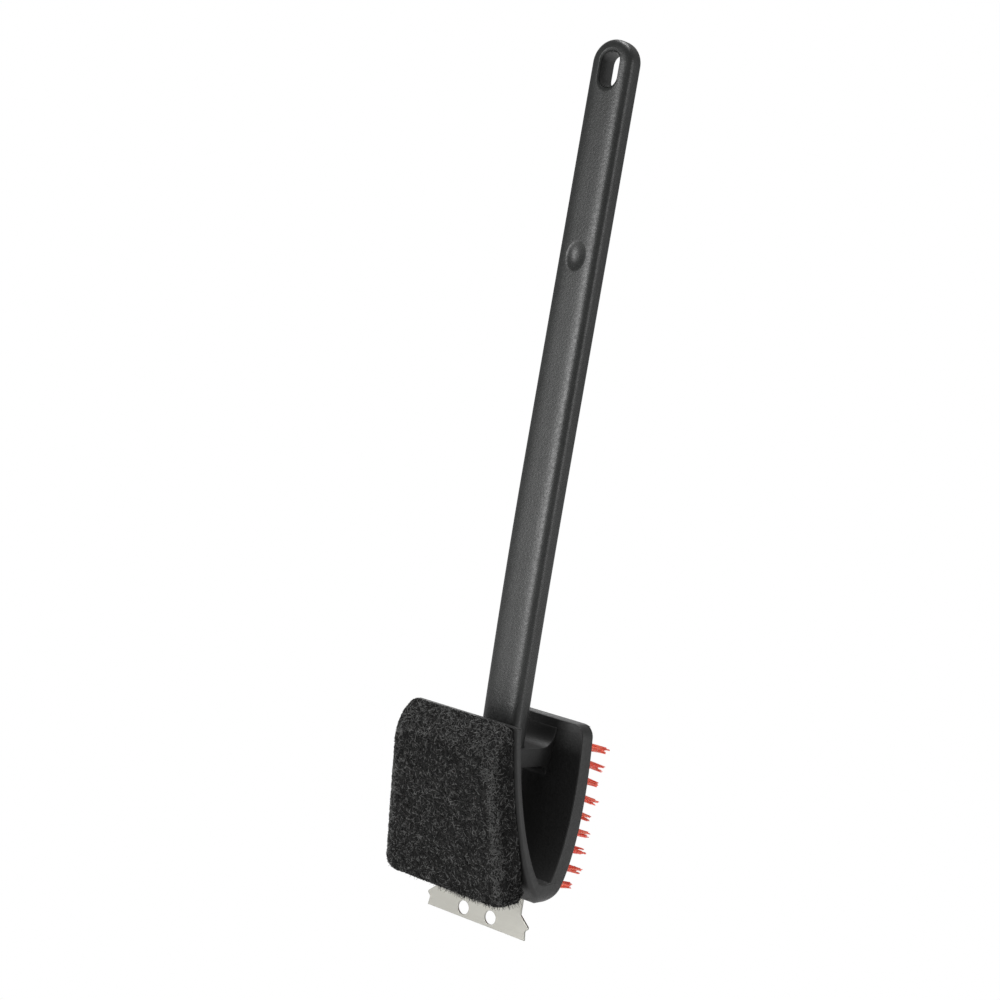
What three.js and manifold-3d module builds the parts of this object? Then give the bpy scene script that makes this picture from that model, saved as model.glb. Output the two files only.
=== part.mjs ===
// Grill cleaning brush: a long moulded handle with a hanging slot, and a U-shaped moulded head that
// carries a thick scouring pad on one wall, rows of bristle tufts on the other wall and a flat steel
// scraper in the tip where the two walls meet.
//
// Units are millimetres. The origin is the centre of the hanging slot. +Z runs up the handle, so the
// brush hangs head down. +X runs across the head, and +Y points to the bristle side.

import * as THREE from "three";
import { mergeVertices } from "three/addons/utils/BufferGeometryUtils.js";
import Module from "manifold-3d";

const wasm = await Module();
wasm.setup();

// ---- Driving dimensions ----

const GAP = 0.3; // clearance between pieces that touch

const HANDLE = {
  halfWidth: 12.1,
  footHalfWidth: 11.7,
  halfThickness: 6.6,
  sectionPower: 4, // superellipse exponent: a box with round corners and crowned faces
  endCentreZ: 3.3, // centre of the half-round end
  endRounding: 4,
  bowStartZ: -200, // below this the handle bows towards the bristle side
  footZ: -352,
  footBow: 3.2,
};
// The rims of the slot flare further at its two ends (endRim) than along its sides (rimRadius).
const SLOT = { halfWidth: 5.4, halfHeight: 9.1, rimRadius: 1.7, endRim: 2.7 };
const DIMPLE = { z: -94.5, halfWidth: 5.9, halfHeight: 7.8, depth: 1.7 };
const TENON = { halfWidth: 9, halfThickness: 4.4, length: 16 };

const HEAD = {
  padWallTopZ: -328.4,
  bristleWallTopZ: -330.1,
  tipZ: -418.6,
  topHalfWidth: 32.9, // at the top edge of the pad wall
  tipHalfWidth: 44.2,
  tipCornerRadius: 8,
  padWallCornerRadius: 1.5,
  bristleWallCornerRadius: 6,
  bristleWallTopInset: 1.6, // the bristle wall is this much narrower at its top, at each end
};
const BRIDGE = { halfWidth: 15.5, topZ: -345, bottomZ: -354.8 };
const BOSS = { halfWidth: 11.4, halfThickness: 6.8, bottomZ: -372 };

const PAD = {
  topZ: -326.4,
  bottomZ: -419.1,
  topHalfWidth: 30.4,
  bottomHalfWidth: 38.8,
  cornerRadius: 6.5,
  frontTopCornerRadius: 15,
  wallCornerDepth: 17,
  edgeRounding: 3,
  topFlare: 2.6, // the side faces widen by this much towards the wall at the top,
  fullFlare: 4.6, // by this much at fullFlareZ
  fullFlareZ: -386,
  bottomFlare: 0, // and by this much at the bottom
  flareDepth: 10, // how far behind the front face they are at their widest
  footY: -27.4, // front face at the bottom edge
  frontSlope: Math.tan(THREE.MathUtils.degToRad(14.7)), // the front face leans back towards the tip
};
const BACKING = { thickness: 0.8, margin: 3, topZ: -330, bottomZ: -396 };

const BLADE = {
  y: 7.3,
  thickness: 1.2,
  tangTopZ: -408,
  tangHalfWidth: 27,
  waistZ: -428.6,
  earHalfWidth: 33.4,
  earZ: -434,
  notchHalfWidth: 31.6,
  notchZ: -436,
  edgeHalfWidth: 32.2,
  edgeZ: -440.8,
  holeX: 8.95,
  holeZ: -435.7,
  holeRadius: 3.6,
};
const PIN = { x: 10.6, z: -411.9, radius: 1.3, fromY: 1.5, toY: 12.4 };

const SCREW = { x: 4.9, shankRadius: 1.4, headRadius: 2.9, headHeight: 2.1, length: 13 };

const TUFT = {
  rows: 9,
  columns: 8,
  firstZ: -341.4,
  rowPitch: 8.54,
  endInset: 4.5,
  droop: THREE.MathUtils.degToRad(12.5), // the tufts lean towards the tip
  length: 20,
  rootDepth: 5.5,
  rootRadius: 1.5,
  tipRadius: 2.2,
  sides: 6,
  rootBarHalfSize: 0.8, // the anchored folds of one row, joined inside the wall
};

const COLOURS = { black: 0x2b2c2c, padBlack: 0x232423, orange: 0xee4b38, steel: 0xc9c8c0, glue: 0x8d8a7e };

// ---- Helpers ----

// Turns a closed geometry into a manifold solid.
function solid(geometry, matrix) {
  const bare = geometry.clone();
  if (matrix) bare.applyMatrix4(matrix);
  bare.deleteAttribute("normal");
  bare.deleteAttribute("uv");
  const merged = mergeVertices(bare, 1e-4);
  return new wasm.Manifold(new wasm.Mesh({
    numProp: 3,
    vertProperties: new Float32Array(merged.attributes.position.array),
    triVerts: new Uint32Array(merged.index.array),
  }));
}

function geometryOf(body) {
  const mesh = body.getMesh();
  const geometry = new THREE.BufferGeometry();
  geometry.setAttribute("position", new THREE.BufferAttribute(new Float32Array(mesh.vertProperties), 3));
  geometry.setIndex(new THREE.BufferAttribute(new Uint32Array(mesh.triVerts), 1));
  geometry.computeVertexNormals();
  return geometry;
}

// A prism along X from an outline drawn in the Y-Z plane, from x0 to x1.
function prismAlongX(outline, x0, x1, curveSegments = 12) {
  const geometry = new THREE.ExtrudeGeometry(outline, { depth: x1 - x0, bevelEnabled: false, curveSegments });
  const axes = new THREE.Matrix4().makeBasis(
    new THREE.Vector3(0, 1, 0), new THREE.Vector3(0, 0, 1), new THREE.Vector3(1, 0, 0));
  return solid(geometry, axes.setPosition(x0, 0, 0));
}

// A prism along Y from an outline drawn in the X-Z plane, from y0 to y1.
function prismAlongY(outline, y0, y1, curveSegments = 6) {
  const geometry = new THREE.ExtrudeGeometry(outline, { depth: y1 - y0, bevelEnabled: false, curveSegments });
  const axes = new THREE.Matrix4().makeBasis(
    new THREE.Vector3(1, 0, 0), new THREE.Vector3(0, 0, 1), new THREE.Vector3(0, -1, 0));
  return solid(geometry, axes.setPosition(0, y1, 0));
}

function box(x0, x1, y0, y1, z0, z1) {
  const geometry = new THREE.BoxGeometry(x1 - x0, y1 - y0, z1 - z0);
  geometry.translate((x0 + x1) / 2, (y0 + y1) / 2, (z0 + z1) / 2);
  return solid(geometry);
}

// Skins equal-length rings of points, listed from bottom to top, and closes both ends with fans.
function loft(rings) {
  const count = rings[0].length;
  const centres = [rings[0], rings[rings.length - 1]].map((ring) =>
    ring.reduce((sum, point) => sum.add(point), new THREE.Vector3()).divideScalar(count));
  const points = [...rings.flat(), ...centres];
  const bottomCentre = points.length - 2;
  const topCentre = points.length - 1;
  const lastRing = (rings.length - 1) * count;
  const index = [];
  for (let i = 0; i < count; i++) {
    const next = (i + 1) % count;
    for (let base = 0; base < lastRing; base += count) {
      index.push(base + i, base + next, base + count + next);
      index.push(base + i, base + count + next, base + count + i);
    }
    index.push(bottomCentre, next, i);
    index.push(topCentre, lastRing + i, lastRing + next);
  }
  const geometry = new THREE.BufferGeometry().setFromPoints(points);
  geometry.setIndex(index);
  return solid(geometry);
}

// A stadium: a slot outline with half-round ends, grown outwards by `grow`.
function stadium(halfWidth, halfHeight, grow, segments) {
  const radius = halfWidth + grow;
  const endOffset = halfHeight - halfWidth;
  const points = [];
  for (let i = 0; i < segments; i++) {
    const angle = (2 * Math.PI * (i + 0.5)) / segments;
    const z = radius * Math.sin(angle) + Math.sign(Math.sin(angle)) * endOffset;
    points.push([radius * Math.cos(angle), z]);
  }
  return points;
}

function roundedTrapezoid(topZ, bottomZ, topHalf, bottomHalf, topRadius, bottomRadius) {
  const shape = new THREE.Shape();
  const lean = (bottomHalf - topHalf) / (topZ - bottomZ);
  const halfAt = (z) => topHalf + (topZ - z) * lean;
  shape.moveTo(-bottomHalf + bottomRadius, bottomZ);
  shape.lineTo(bottomHalf - bottomRadius, bottomZ);
  shape.quadraticCurveTo(bottomHalf, bottomZ, halfAt(bottomZ + bottomRadius), bottomZ + bottomRadius);
  shape.lineTo(halfAt(topZ - topRadius), topZ - topRadius);
  shape.quadraticCurveTo(topHalf, topZ, topHalf - topRadius, topZ);
  shape.lineTo(-topHalf + topRadius, topZ);
  shape.quadraticCurveTo(-topHalf, topZ, -halfAt(topZ - topRadius), topZ - topRadius);
  shape.lineTo(-halfAt(bottomZ + bottomRadius), bottomZ + bottomRadius);
  shape.quadraticCurveTo(-bottomHalf, bottomZ, -bottomHalf + bottomRadius, bottomZ);
  return shape;
}

// ---- Handle ----

function handleBow(z) {
  const below = Math.max(0, (HANDLE.bowStartZ - z) / (HANDLE.bowStartZ - HANDLE.footZ));
  return HANDLE.footBow * below * below;
}

function handleSection(z, grow = 0) {
  const taper = THREE.MathUtils.smoothstep(-z, -HANDLE.bowStartZ, -HANDLE.footZ);
  const topZ = HANDLE.endCentreZ + HANDLE.halfWidth;
  const aboveCentre = Math.max(0, z - HANDLE.endCentreZ);
  const rounding = Math.max(0, HANDLE.endRounding - (topZ - z));
  const fullWidth = THREE.MathUtils.lerp(HANDLE.halfWidth, HANDLE.footHalfWidth, taper);
  const halfX = Math.sqrt(fullWidth ** 2 - aboveCentre ** 2) + grow;
  const halfY = HANDLE.halfThickness - HANDLE.endRounding
    + Math.sqrt(HANDLE.endRounding ** 2 - rounding ** 2) + grow;
  const sides = 40;
  const power = 2 / HANDLE.sectionPower;
  const ring = [];
  for (let i = 0; i < sides; i++) {
    const angle = (2 * Math.PI * (i + 0.5)) / sides;
    const c = Math.cos(angle);
    const s = Math.sin(angle);
    ring.push(new THREE.Vector3(
      halfX * Math.sign(c) * Math.abs(c) ** power,
      handleBow(z) + halfY * Math.sign(s) * Math.abs(s) ** power,
      z));
  }
  return ring;
}

function handleLevels() {
  const levels = [];
  const bowSteps = 14;
  const straightSteps = 6;
  const endSteps = 8;
  for (let i = 0; i < bowSteps; i++) {
    levels.push(THREE.MathUtils.lerp(HANDLE.footZ, HANDLE.bowStartZ, i / bowSteps));
  }
  for (let i = 0; i < straightSteps; i++) {
    levels.push(THREE.MathUtils.lerp(HANDLE.bowStartZ, HANDLE.endCentreZ, i / straightSteps));
  }
  for (let i = 0; i <= endSteps; i++) {
    const angle = (i / endSteps) * THREE.MathUtils.degToRad(82);
    levels.push(HANDLE.endCentreZ + HANDLE.halfWidth * Math.sin(angle));
  }
  return levels;
}

// The hanging slot, with a rounded rim at the front and back faces.
function slotCutter() {
  const { halfWidth, halfHeight, rimRadius, endRim } = SLOT;
  const face = HANDLE.halfThickness;
  const lengthen = (grow) => (grow * (endRim - rimRadius)) / rimRadius;
  const steps = 3;
  const levels = [];
  for (let i = 0; i <= steps; i++) {
    const angle = (i / steps) * (Math.PI / 2);
    levels.push([face - rimRadius + rimRadius * Math.sin(angle), rimRadius * (1 - Math.cos(angle))]);
  }
  levels.push([face + 1, rimRadius]);
  const mirrored = levels.map(([y, grow]) => [-y, grow]).reverse();
  const ring = ([y, grow]) => stadium(halfWidth, halfHeight + lengthen(grow), grow, 28)
    .map(([x, z]) => new THREE.Vector3(x, y, -z));
  return loft([...mirrored, ...levels].map(ring));
}

function dimpleCutter() {
  const { z, halfWidth, halfHeight, depth } = DIMPLE;
  const radiusY = 3 * depth;
  const rimScale = Math.sqrt(1 - ((radiusY - depth) / radiusY) ** 2);
  const sphere = new THREE.SphereGeometry(1, 24, 14);
  sphere.scale(halfWidth / rimScale, radiusY, halfHeight / rimScale);
  sphere.translate(0, -HANDLE.halfThickness - radiusY + depth, z);
  return solid(sphere);
}

function tenon(grow) {
  const bow = HANDLE.footBow;
  return box(
    -TENON.halfWidth - grow, TENON.halfWidth + grow,
    bow - TENON.halfThickness - grow, bow + TENON.halfThickness + grow,
    HANDLE.footZ - TENON.length - grow, HANDLE.footZ + 2);
}

function screwShank(x, grow) {
  const top = HANDLE.footZ - TENON.length + SCREW.length - 4 + grow;
  const bottom = BOSS.bottomZ - GAP;
  const radius = SCREW.shankRadius + grow;
  const geometry = new THREE.CylinderGeometry(radius, radius, top - bottom, 12);
  geometry.rotateX(Math.PI / 2);
  geometry.translate(x, HANDLE.footBow, (top + bottom) / 2);
  return solid(geometry);
}

function buildHandle() {
  let body = loft(handleLevels().map((z) => handleSection(z)));
  body = body.subtract(slotCutter()).subtract(dimpleCutter()).add(tenon(0));
  for (const side of [-1, 1]) body = body.subtract(screwShank(side * SCREW.x, GAP));
  return body;
}

// A pan-head screw driven up through the floor of the boss, with a cross recess in its head.
function buildHandleScrew(side) {
  const x = side * SCREW.x;
  const headTop = BOSS.bottomZ - GAP;
  const overlap = 0.5;
  const profile = [
    new THREE.Vector2(0, -SCREW.headHeight),
    new THREE.Vector2(SCREW.headRadius * 0.7, -SCREW.headHeight),
    new THREE.Vector2(SCREW.headRadius, -SCREW.headHeight * 0.5),
    new THREE.Vector2(SCREW.headRadius, 0),
    new THREE.Vector2(SCREW.shankRadius, 0),
    new THREE.Vector2(SCREW.shankRadius, overlap),
    new THREE.Vector2(0, overlap),
  ];
  const head = new THREE.LatheGeometry(profile, 20);
  head.rotateX(Math.PI / 2);
  head.translate(x, HANDLE.footBow, headTop);
  const recessDepth = 1.2;
  const recess = (halfX, halfY) => box(
    x - halfX, x + halfX, HANDLE.footBow - halfY, HANDLE.footBow + halfY,
    headTop - SCREW.headHeight - 1, headTop - SCREW.headHeight + recessDepth);
  return solid(head).add(screwShank(x, 0)).subtract(recess(1.7, 0.4).add(recess(0.4, 1.7)));
}

// ---- Head ----

// The outer faces of the two walls in the Y-Z plane: the pad wall from its top edge down to the tip,
// and the bristle wall from the tip up to its top edge.
const padWallOuter = new THREE.CubicBezierCurve(
  new THREE.Vector2(-33.1, HEAD.padWallTopZ), new THREE.Vector2(-31, -363),
  new THREE.Vector2(-19.5, -403), new THREE.Vector2(-3.5, -416));
const bristleWallOuter = new THREE.CubicBezierCurve(
  new THREE.Vector2(13, -413.2), new THREE.Vector2(28.5, -396),
  new THREE.Vector2(36.1, -362), new THREE.Vector2(37.5, HEAD.bristleWallTopZ));

// The head from the side: two walls that meet in a rounded tip, open between them.
function headProfile() {
  const shape = new THREE.Shape();
  shape.moveTo(padWallOuter.v0.x, padWallOuter.v0.y);
  shape.curves.push(padWallOuter);
  shape.currentPoint.copy(padWallOuter.v3);
  shape.quadraticCurveTo(3.5, HEAD.tipZ - 4, bristleWallOuter.v0.x, bristleWallOuter.v0.y);
  shape.curves.push(bristleWallOuter);
  shape.currentPoint.copy(bristleWallOuter.v3);
  shape.lineTo(27.8, HEAD.bristleWallTopZ);
  shape.bezierCurveTo(26.9, -360, 18.2, -391, 5.6, -407.3);
  shape.quadraticCurveTo(1.2, -408.8, -4, -406.3);
  shape.bezierCurveTo(-18, -390, -26.5, -358, -27.8, HEAD.padWallTopZ);
  shape.lineTo(padWallOuter.v0.x, padWallOuter.v0.y);
  return shape;
}

function headHalfWidth(z) {
  const lean = (HEAD.tipHalfWidth - HEAD.topHalfWidth) / (HEAD.padWallTopZ - HEAD.tipZ);
  return HEAD.topHalfWidth + (HEAD.padWallTopZ - z) * lean;
}

// The front view of the head: narrower at the top, with the top corners of each wall and the ends of
// the tip rounded.
function headSilhouette() {
  const below = HEAD.tipZ - 0.1;
  const outline = (topZ, inset, radius) => roundedTrapezoid(
    topZ, below, headHalfWidth(topZ) - inset, headHalfWidth(below), radius, HEAD.tipCornerRadius);
  const padSide = prismAlongY(outline(HEAD.padWallTopZ, 0, HEAD.padWallCornerRadius), -40, 0);
  const bristleSide = prismAlongY(
    outline(HEAD.bristleWallTopZ, HEAD.bristleWallTopInset, HEAD.bristleWallCornerRadius), 0, 40);
  return padSide.add(bristleSide);
}

// The bridge joins both walls with coved corners and takes the foot of the handle.
function bridgeProfile() {
  const { topZ, bottomZ } = BRIDGE;
  const shape = new THREE.Shape();
  shape.moveTo(-30, topZ + 10);
  shape.lineTo(-27, topZ + 10);
  shape.quadraticCurveTo(-26.2, topZ, -17, topZ);
  shape.lineTo(17, topZ);
  shape.quadraticCurveTo(26.8, topZ, 27.3, topZ + 10.5);
  shape.lineTo(31, topZ + 10.5);
  shape.lineTo(28.5, bottomZ - 8);
  shape.lineTo(24.8, bottomZ - 8);
  shape.quadraticCurveTo(24.9, bottomZ, 18.5, bottomZ);
  shape.lineTo(-18, bottomZ);
  shape.quadraticCurveTo(-23.5, bottomZ, -23.6, bottomZ - 7);
  shape.lineTo(-27, bottomZ - 7);
  return shape;
}

function bladeSlot() {
  const half = BLADE.thickness / 2 + GAP;
  return box(
    -BLADE.tangHalfWidth - GAP, BLADE.tangHalfWidth + GAP,
    BLADE.y - half, BLADE.y + half, HEAD.tipZ - 5, BLADE.tangTopZ + GAP);
}

function pinAlongY(x, grow, fromY, toY) {
  const radius = PIN.radius + grow;
  const geometry = new THREE.CylinderGeometry(radius, radius, toY - fromY, 12);
  geometry.translate(x, (fromY + toY) / 2, PIN.z);
  return solid(geometry);
}

function buildHeadShell() {
  let body = prismAlongX(headProfile(), -50, 50, 16);
  body = body.add(prismAlongX(bridgeProfile(), -BRIDGE.halfWidth, BRIDGE.halfWidth, 7));
  body = body.add(box(
    -BOSS.halfWidth, BOSS.halfWidth,
    HANDLE.footBow - BOSS.halfThickness, HANDLE.footBow + BOSS.halfThickness,
    BOSS.bottomZ, BRIDGE.bottomZ + 1));
  body = body.intersect(headSilhouette());

  const socketLevels = [HANDLE.footZ - GAP, -348, BRIDGE.topZ + 2];
  body = body.subtract(loft(socketLevels.map((z) => handleSection(z, GAP))));
  body = body.subtract(tenon(GAP)).subtract(bladeSlot());
  for (const side of [-1, 1]) {
    body = body.subtract(screwShank(side * SCREW.x, GAP));
    body = body.subtract(pinAlongY(side * PIN.x, GAP, PIN.fromY - GAP, PIN.toY + 8));
  }
  for (let row = 0; row < TUFT.rows; row++) body = body.subtract(tuftRow(row, GAP));
  return body;
}

// ---- Bristle tufts ----

// The point where a row leaves the outer face of the bristle wall.
function rowBase(row) {
  const z = TUFT.firstZ - row * TUFT.rowPitch;
  let low = 0;
  let high = 1;
  for (let i = 0; i < 30; i++) {
    const middle = (low + high) / 2;
    if (bristleWallOuter.getPoint(middle).y < z) low = middle;
    else high = middle;
  }
  return { y: bristleWallOuter.getPoint(low).x, z };
}

// One row: its tufts fan out along the sloping ends of the head, and a bar joins their folds inside
// the wall. `grow` widens the row into the cutter for its own holes.
function tuftRow(row, grow) {
  const base = rowBase(row);
  const reach = headHalfWidth(base.z) - TUFT.endInset;
  const sideGrow = grow / Math.cos(Math.PI / TUFT.sides);
  const tip = grow > 0 ? TUFT.rootRadius : TUFT.tipRadius;
  const profile = [
    new THREE.Vector2(0, -TUFT.rootDepth - grow),
    new THREE.Vector2(TUFT.rootRadius + sideGrow, -TUFT.rootDepth - grow),
    new THREE.Vector2(TUFT.rootRadius + sideGrow, 0),
    new THREE.Vector2(tip + sideGrow, TUFT.length),
    new THREE.Vector2(0, TUFT.length),
  ];
  const tuft = new THREE.LatheGeometry(profile, TUFT.sides);
  tuft.rotateX(-TUFT.droop);
  const bar = TUFT.rootBarHalfSize + grow;
  const along = TUFT.rootDepth - TUFT.rootBarHalfSize;
  const barY = base.y - along * Math.cos(TUFT.droop);
  const barZ = base.z + along * Math.sin(TUFT.droop);
  let body = box(-reach - grow, reach + grow, barY - bar, barY + bar, barZ - bar, barZ + bar);
  for (let column = 0; column < TUFT.columns; column++) {
    const x = THREE.MathUtils.lerp(-reach, reach, column / (TUFT.columns - 1));
    body = body.add(solid(tuft, new THREE.Matrix4().makeTranslation(x, base.y, base.z)));
  }
  return body;
}

// ---- Scouring pad ----

// The outer face of the pad wall, moved outwards by `distance`.
function padWallOffset(distance) {
  const steps = 24;
  const points = [];
  for (let i = 0; i <= steps; i++) {
    const tangent = padWallOuter.getTangent(i / steps);
    const point = padWallOuter.getPoint(i / steps);
    points.push(new THREE.Vector2(point.x + tangent.y * distance, point.y - tangent.x * distance));
  }
  return points;
}

// The front view of the pad, drawn in by `inset` all round.
function padOutline(inset, topRadius = PAD.cornerRadius) {
  return roundedTrapezoid(
    PAD.topZ - inset, PAD.bottomZ + inset, PAD.topHalfWidth - inset, PAD.bottomHalfWidth - inset,
    topRadius, PAD.cornerRadius);
}

// How much wider the pad is at the wall than at its front face.
function padFlare(z) {
  const { lerp, smoothstep } = THREE.MathUtils;
  if (z > PAD.fullFlareZ) {
    return lerp(PAD.fullFlare, PAD.topFlare, (z - PAD.fullFlareZ) / (PAD.topZ - PAD.fullFlareZ));
  }
  return lerp(PAD.bottomFlare, PAD.fullFlare, smoothstep(z, PAD.bottomZ, PAD.fullFlareZ));
}

// The same loop with its two long sides cut into equal parts.
function splitLongSides(loop, parts) {
  return loop.flatMap((point, i) => {
    const next = loop[(i + 1) % loop.length];
    const count = Math.abs(next.y - point.y) > 30 ? parts : 1;
    return Array.from({ length: count }, (_, k) => point.clone().lerp(next, k / count));
  });
}

// The pad from the side: well rounded at the top, a flat leaning front and a small radius at the foot.
function padProfile() {
  const shoulderZ = PAD.topZ - 25;
  const shoulderY = PAD.footY - PAD.frontSlope * (shoulderZ - PAD.bottomZ);
  const shape = new THREE.Shape();
  shape.moveTo(-11, PAD.bottomZ + 1.5);
  shape.lineTo(10, PAD.topZ);
  shape.lineTo(-33, PAD.topZ);
  shape.bezierCurveTo(-37.2, PAD.topZ - 0.3, shoulderY - 2, shoulderZ + 9.5, shoulderY, shoulderZ);
  shape.lineTo(PAD.footY - 2.5 * PAD.frontSlope, PAD.bottomZ + 2.5);
  shape.quadraticCurveTo(PAD.footY, PAD.bottomZ, PAD.footY + 2.5, PAD.bottomZ);
  return shape;
}

// A block with a rounded, leaning front and softer top corners there, listed from behind the wall.
function padBlock() {
  const round = PAD.edgeRounding;
  const levels = [
    { depth: 60, inset: 0, flareShare: 1, topRadius: PAD.cornerRadius },
    { depth: PAD.wallCornerDepth, inset: 0, flareShare: 1, topRadius: PAD.cornerRadius },
    { depth: PAD.flareDepth, inset: 0, flareShare: 1 },
    { depth: round, inset: 0, flareShare: 0 },
    { depth: round * 0.3, inset: round * 0.3, flareShare: 0 },
    { depth: 0, inset: round, flareShare: 0 },
  ];
  return loft(levels.map(({ depth, inset, flareShare, topRadius = PAD.frontTopCornerRadius }) => {
    const loop = splitLongSides(padOutline(inset, topRadius).getPoints(4).slice(0, -1), 12);
    return loop.map(({ x, y: z }) => {
      const y = PAD.footY - PAD.frontSlope * (z - PAD.bottomZ) + depth;
      return new THREE.Vector3(x + Math.sign(x) * flareShare * padFlare(z), y, z);
    });
  }));
}

function buildScouringPad() {
  const wallSide = padWallOffset(2 * GAP + BACKING.thickness);
  const behind = new THREE.Shape([
    ...wallSide, new THREE.Vector2(14, HEAD.tipZ - 4), new THREE.Vector2(14, PAD.topZ + 5),
    new THREE.Vector2(wallSide[0].x, PAD.topZ + 5),
  ]);
  return padBlock()
    .intersect(prismAlongX(padProfile(), -45, 45, 8))
    .subtract(prismAlongX(behind, -60, 60));
}

function buildPadBacking() {
  const inner = padWallOffset(GAP);
  const outer = padWallOffset(GAP + BACKING.thickness);
  const sheet = prismAlongX(new THREE.Shape([...inner, ...outer.reverse()]), -45, 45);
  const { topZ, bottomZ } = BACKING;
  const trimmed = box(-45, 45, -60, 20, bottomZ, topZ);
  return sheet.intersect(prismAlongY(padOutline(BACKING.margin), -60, 20)).intersect(trimmed);
}

// ---- Scraper ----

function bladeOutline() {
  const b = BLADE;
  const right = [
    [b.tangHalfWidth, b.tangTopZ],
    [b.tangHalfWidth + 0.4, b.waistZ],
    [b.earHalfWidth - 0.7, b.earZ + 0.9],
  ];
  const shape = new THREE.Shape();
  shape.moveTo(-b.edgeHalfWidth, b.edgeZ);
  shape.lineTo(b.edgeHalfWidth, b.edgeZ);
  shape.lineTo(b.notchHalfWidth, b.notchZ - 0.9);
  shape.quadraticCurveTo(b.notchHalfWidth - 0.2, b.notchZ, b.notchHalfWidth + 0.6, b.notchZ + 0.5);
  shape.quadraticCurveTo(b.earHalfWidth + 0.4, b.earZ - 0.4, right[2][0], right[2][1]);
  shape.lineTo(right[1][0], right[1][1]);
  shape.lineTo(right[0][0], right[0][1]);
  shape.lineTo(-right[0][0], right[0][1]);
  shape.lineTo(-right[1][0], right[1][1]);
  shape.lineTo(-right[2][0], right[2][1]);
  shape.quadraticCurveTo(-b.earHalfWidth - 0.4, b.earZ - 0.4, -b.notchHalfWidth - 0.6, b.notchZ + 0.5);
  shape.quadraticCurveTo(-b.notchHalfWidth + 0.2, b.notchZ, -b.notchHalfWidth, b.notchZ - 0.9);
  for (const side of [-1, 1]) {
    const hole = new THREE.Path();
    hole.absarc(side * b.holeX, b.holeZ, b.holeRadius, 0, 2 * Math.PI, true);
    shape.holes.push(hole);
    const pinHole = new THREE.Path();
    pinHole.absarc(side * PIN.x, PIN.z, PIN.radius + GAP, 0, 2 * Math.PI, true);
    shape.holes.push(pinHole);
  }
  return shape;
}

function buildScraperBlade() {
  const half = BLADE.thickness / 2;
  return prismAlongY(bladeOutline(), BLADE.y - half, BLADE.y + half, 10);
}

// ---- Assembly ----

function material(name) {
  const looks = {
    plastic: { color: COLOURS.black, roughness: 0.5, metalness: 0 },
    pad: { color: COLOURS.padBlack, roughness: 0.95, metalness: 0 },
    bristle: { color: COLOURS.orange, roughness: 0.4, metalness: 0 },
    steel: { color: COLOURS.steel, roughness: 0.35, metalness: 1 },
    backing: { color: COLOURS.glue, roughness: 0.7, metalness: 0 },
  };
  return new THREE.MeshStandardMaterial(looks[name]);
}

const brush = new THREE.Group();

function addPiece(name, body, look) {
  const mesh = new THREE.Mesh(geometryOf(body), material(look));
  mesh.name = name;
  brush.add(mesh);
}

addPiece("handle", buildHandle(), "plastic");
addPiece("head_shell", buildHeadShell(), "plastic");
addPiece("handle_screw_left", buildHandleScrew(-1), "steel");
addPiece("handle_screw_right", buildHandleScrew(1), "steel");
addPiece("pad_backing", buildPadBacking(), "backing");
addPiece("scouring_pad", buildScouringPad(), "pad");
addPiece("scraper_blade", buildScraperBlade(), "steel");
addPiece("scraper_pin_left", pinAlongY(-PIN.x, 0, PIN.fromY, PIN.toY), "steel");
addPiece("scraper_pin_right", pinAlongY(PIN.x, 0, PIN.fromY, PIN.toY), "steel");
for (let row = 0; row < TUFT.rows; row++) {
  addPiece(`bristle_row_${row + 1}`, tuftRow(row, 0), "bristle");
}

export default brush;
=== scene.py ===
import math

import bmesh
import bpy
import numpy as np
from mathutils import Matrix, Vector
from mathutils.bvhtree import BVHTree


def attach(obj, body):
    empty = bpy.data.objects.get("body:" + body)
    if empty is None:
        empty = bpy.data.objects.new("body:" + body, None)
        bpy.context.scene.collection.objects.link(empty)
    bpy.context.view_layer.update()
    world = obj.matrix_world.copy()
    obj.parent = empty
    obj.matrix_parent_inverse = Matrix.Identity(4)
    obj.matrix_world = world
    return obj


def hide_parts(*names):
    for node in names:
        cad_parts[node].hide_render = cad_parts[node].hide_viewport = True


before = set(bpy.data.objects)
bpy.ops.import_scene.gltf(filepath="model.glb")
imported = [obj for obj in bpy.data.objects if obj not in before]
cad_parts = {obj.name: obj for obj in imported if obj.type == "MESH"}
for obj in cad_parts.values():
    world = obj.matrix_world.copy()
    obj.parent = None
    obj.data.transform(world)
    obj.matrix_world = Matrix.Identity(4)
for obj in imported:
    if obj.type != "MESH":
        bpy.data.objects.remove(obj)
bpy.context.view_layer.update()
scene = bpy.context.scene
rng = np.random.default_rng(20)

# Shapes are worked out in millimetres and scaled to the frame's metres when they are finished.
MM = 0.001

# ---- Camera, at the angle from which the brush is seen a little from its right and from above ----

YAW, PITCH, ROLL = (math.radians(a) for a in (37.0, 3.71, 9.825))
CAMERA_PLACE = (0.6004, -0.83065, -0.15578)
FOCAL_LENGTH, SENSOR_WIDTH = 72.68, 36.0
FARTHEST_SEEN = 50.0

ahead_level = Vector((-math.sin(YAW), math.cos(YAW), 0))
ahead = ahead_level * math.cos(PITCH) - Vector((0, 0, math.sin(PITCH)))
across = Vector((math.cos(YAW), math.sin(YAW), 0))
upright = across.cross(ahead)
right = across * math.cos(ROLL) + upright * math.sin(ROLL)
up = upright * math.cos(ROLL) - across * math.sin(ROLL)
camera_data = bpy.data.cameras.new("camera")
camera_data.lens = FOCAL_LENGTH
camera_data.sensor_width = SENSOR_WIDTH
camera_data.clip_end = FARTHEST_SEEN
camera = bpy.data.objects.new("camera", camera_data)
axes = Matrix((right, up, -ahead)).transposed().to_4x4()
camera.matrix_world = Matrix.Translation(CAMERA_PLACE) @ axes
scene.collection.objects.link(camera)
scene.camera = camera


# ---- Mesh helpers ----

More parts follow.
